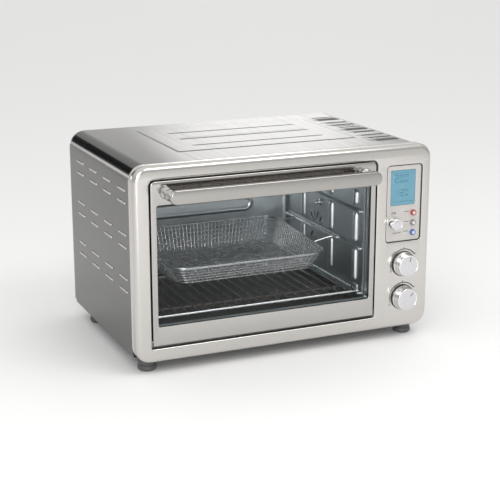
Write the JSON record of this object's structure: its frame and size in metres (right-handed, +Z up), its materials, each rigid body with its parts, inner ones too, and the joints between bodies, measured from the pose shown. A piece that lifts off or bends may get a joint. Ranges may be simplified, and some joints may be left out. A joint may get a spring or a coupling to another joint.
{
  "type": "toaster oven",
  "caption": "Countertop toaster oven with drop-down glass door, bar handle, control column with display and dials, wire rack, air-fry basket, crumb tray and convection fan.",
  "frame": {"origin": "on the counter, at the centre of the footprint from the handle bar to the cord gland", "axes": "+Z up, the door faces -Y, the control column is on the +X side"},
  "size_m": [0.51, 0.389, 0.327],
  "materials": {
    "casing_steel": "brushed, grain front to back",
    "fascia_steel": "brushed, grain left to right",
    "handle_steel": "satin brushed",
    "cavity_steel": "smooth aluminised sheet",
    "plated_steel": "zinc plated",
    "chrome": "polished",
    "chrome_wire": "polished wire",
    "fan_aluminium": "pressed sheet",
    "heater_sheath": "satin tube",
    "door_glass": "clear, polished",
    "lcd_window": "backlit display window",
    "panel_plastic": "satin silver",
    "black_plastic": "fine texture",
    "foot_rubber": "matte",
    "circuit_board": "solder mask",
    "button_red": "satin with a clear cap",
    "button_grey": "satin with a clear cap",
    "button_blue": "satin with a clear cap"
  },
  "bodies": {
    "housing": {"outer_casing": "casing_steel", "front_fascia": "fascia_steel", "base_plate": "plated_steel", "rear_cover": "plated_steel", "cord_gland": "black_plastic", "rear_screw_1": "plated_steel", "rear_screw_2": "plated_steel", "rear_screw_3": "plated_steel", "rear_screw_4": "plated_steel", "foot_front_left": "foot_rubber", "foot_front_right": "foot_rubber", "foot_rear_left": "foot_rubber", "foot_rear_right": "foot_rubber", "cavity_front_frame": "cavity_steel", "cavity_left_wall": "cavity_steel", "cavity_right_wall": "cavity_steel", "cavity_rear_wall": "cavity_steel", "cavity_roof": "cavity_steel", "cavity_floor": "cavity_steel", "heater_lower_front": "heater_sheath", "heater_lower_rear": "heater_sheath", "heater_upper_front": "heater_sheath", "heater_upper_rear": "heater_sheath", "temperature_sensor": "chrome", "fan_shroud": "plated_steel", "fan_motor": "plated_steel", "control_panel": "panel_plastic", "lcd_window": "lcd_window", "control_board": "circuit_board", "encoder": "plated_steel", "power_board": "circuit_board", "dial_ring_upper": "black_plastic", "rotary_switch_upper": "plated_steel", "dial_ring_lower": "black_plastic", "rotary_switch_lower": "plated_steel", "hinge_bracket_left": "plated_steel", "hinge_spring_left": "plated_steel", "hinge_bracket_right": "plated_steel", "hinge_spring_right": "plated_steel"},
    "door": {"door_frame": "fascia_steel", "door_glass": "door_glass", "door_liner": "cavity_steel", "handle_bar": "handle_steel", "handle_post_left": "chrome", "handle_post_right": "chrome", "hinge_pin_left": "plated_steel", "hinge_pin_right": "plated_steel"},
    "upper_dial": {"dial_upper": "chrome", "dial_shaft_upper": "plated_steel"},
    "lower_dial": {"dial_lower": "chrome", "dial_shaft_lower": "plated_steel"},
    "selector": {"select_knob": "chrome"},
    "stop_key": {"stop_button": "button_red"},
    "light_key": {"light_button": "button_grey"},
    "start_key": {"start_button": "button_blue"},
    "rack": {"wire_rack": "chrome_wire"},
    "tray": {"crumb_tray": "cavity_steel"},
    "basket": {"basket_mesh": "chrome_wire", "basket_frame": "chrome_wire"},
    "fan": {"fan_blade": "fan_aluminium"}
  },
  "joints": [
    {"name": "door_hinge", "type": "hinge", "parent": "housing", "child": "door", "pos_m": [0, -0.1465, 0.0522], "axis": [1, 0, 0], "range_deg": [0, 90], "stiffness_Nm_per_rad": 0.6, "springref_deg": -22.92},
    {"name": "rack_slide", "type": "slide", "parent": "housing", "child": "rack", "axis": [0, -1, 0], "range_m": [0, 0.066]},
    {"name": "basket_slide", "type": "slide", "parent": "housing", "child": "basket", "axis": [0, -1, 0], "range_m": [0, 0.1415]},
    {"name": "tray_slide", "type": "slide", "parent": "housing", "child": "tray", "axis": [0, -1, 0], "range_m": [0, 0.0205]},
    {"name": "upper_dial_turn", "type": "hinge", "parent": "housing", "child": "upper_dial", "pos_m": [0.2075, -0.1535, 0.1295], "axis": [0, 1, 0], "range_deg": [0, 270]},
    {"name": "lower_dial_turn", "type": "hinge", "parent": "housing", "child": "lower_dial", "pos_m": [0.2075, -0.1535, 0.0725], "axis": [0, 1, 0], "range_deg": [0, 300]},
    {"name": "selector_turn", "type": "hinge", "parent": "housing", "child": "selector", "pos_m": [0.188, -0.1535, 0.199], "axis": [0, 1, 0], "continuous": true},
    {"name": "stop_press", "type": "slide", "parent": "housing", "child": "stop_key", "axis": [0, 1, 0], "range_m": [0, 0.0015], "stiffness_N_per_m": 300, "springref_m": -0.0006},
    {"name": "light_press", "type": "slide", "parent": "housing", "child": "light_key", "axis": [0, 1, 0], "range_m": [0, 0.0015], "stiffness_N_per_m": 300, "springref_m": -0.0006},
    {"name": "start_press", "type": "slide", "parent": "housing", "child": "start_key", "axis": [0, 1, 0], "range_m": [0, 0.0015], "stiffness_N_per_m": 300, "springref_m": -0.0006},
    {"name": "fan_spin", "type": "hinge", "parent": "housing", "child": "fan", "pos_m": [0.153, 0.0365, 0.157], "axis": [1, 0, 0], "continuous": true}
  ],
  "couplings": [
    {"joint": "rack_slide", "follows": "door_hinge", "m_per_rad": 0.042},
    {"joint": "basket_slide", "follows": "door_hinge", "m_per_rad": 0.09},
    {"joint": "tray_slide", "follows": "door_hinge", "m_per_rad": 0.013}
  ]
}
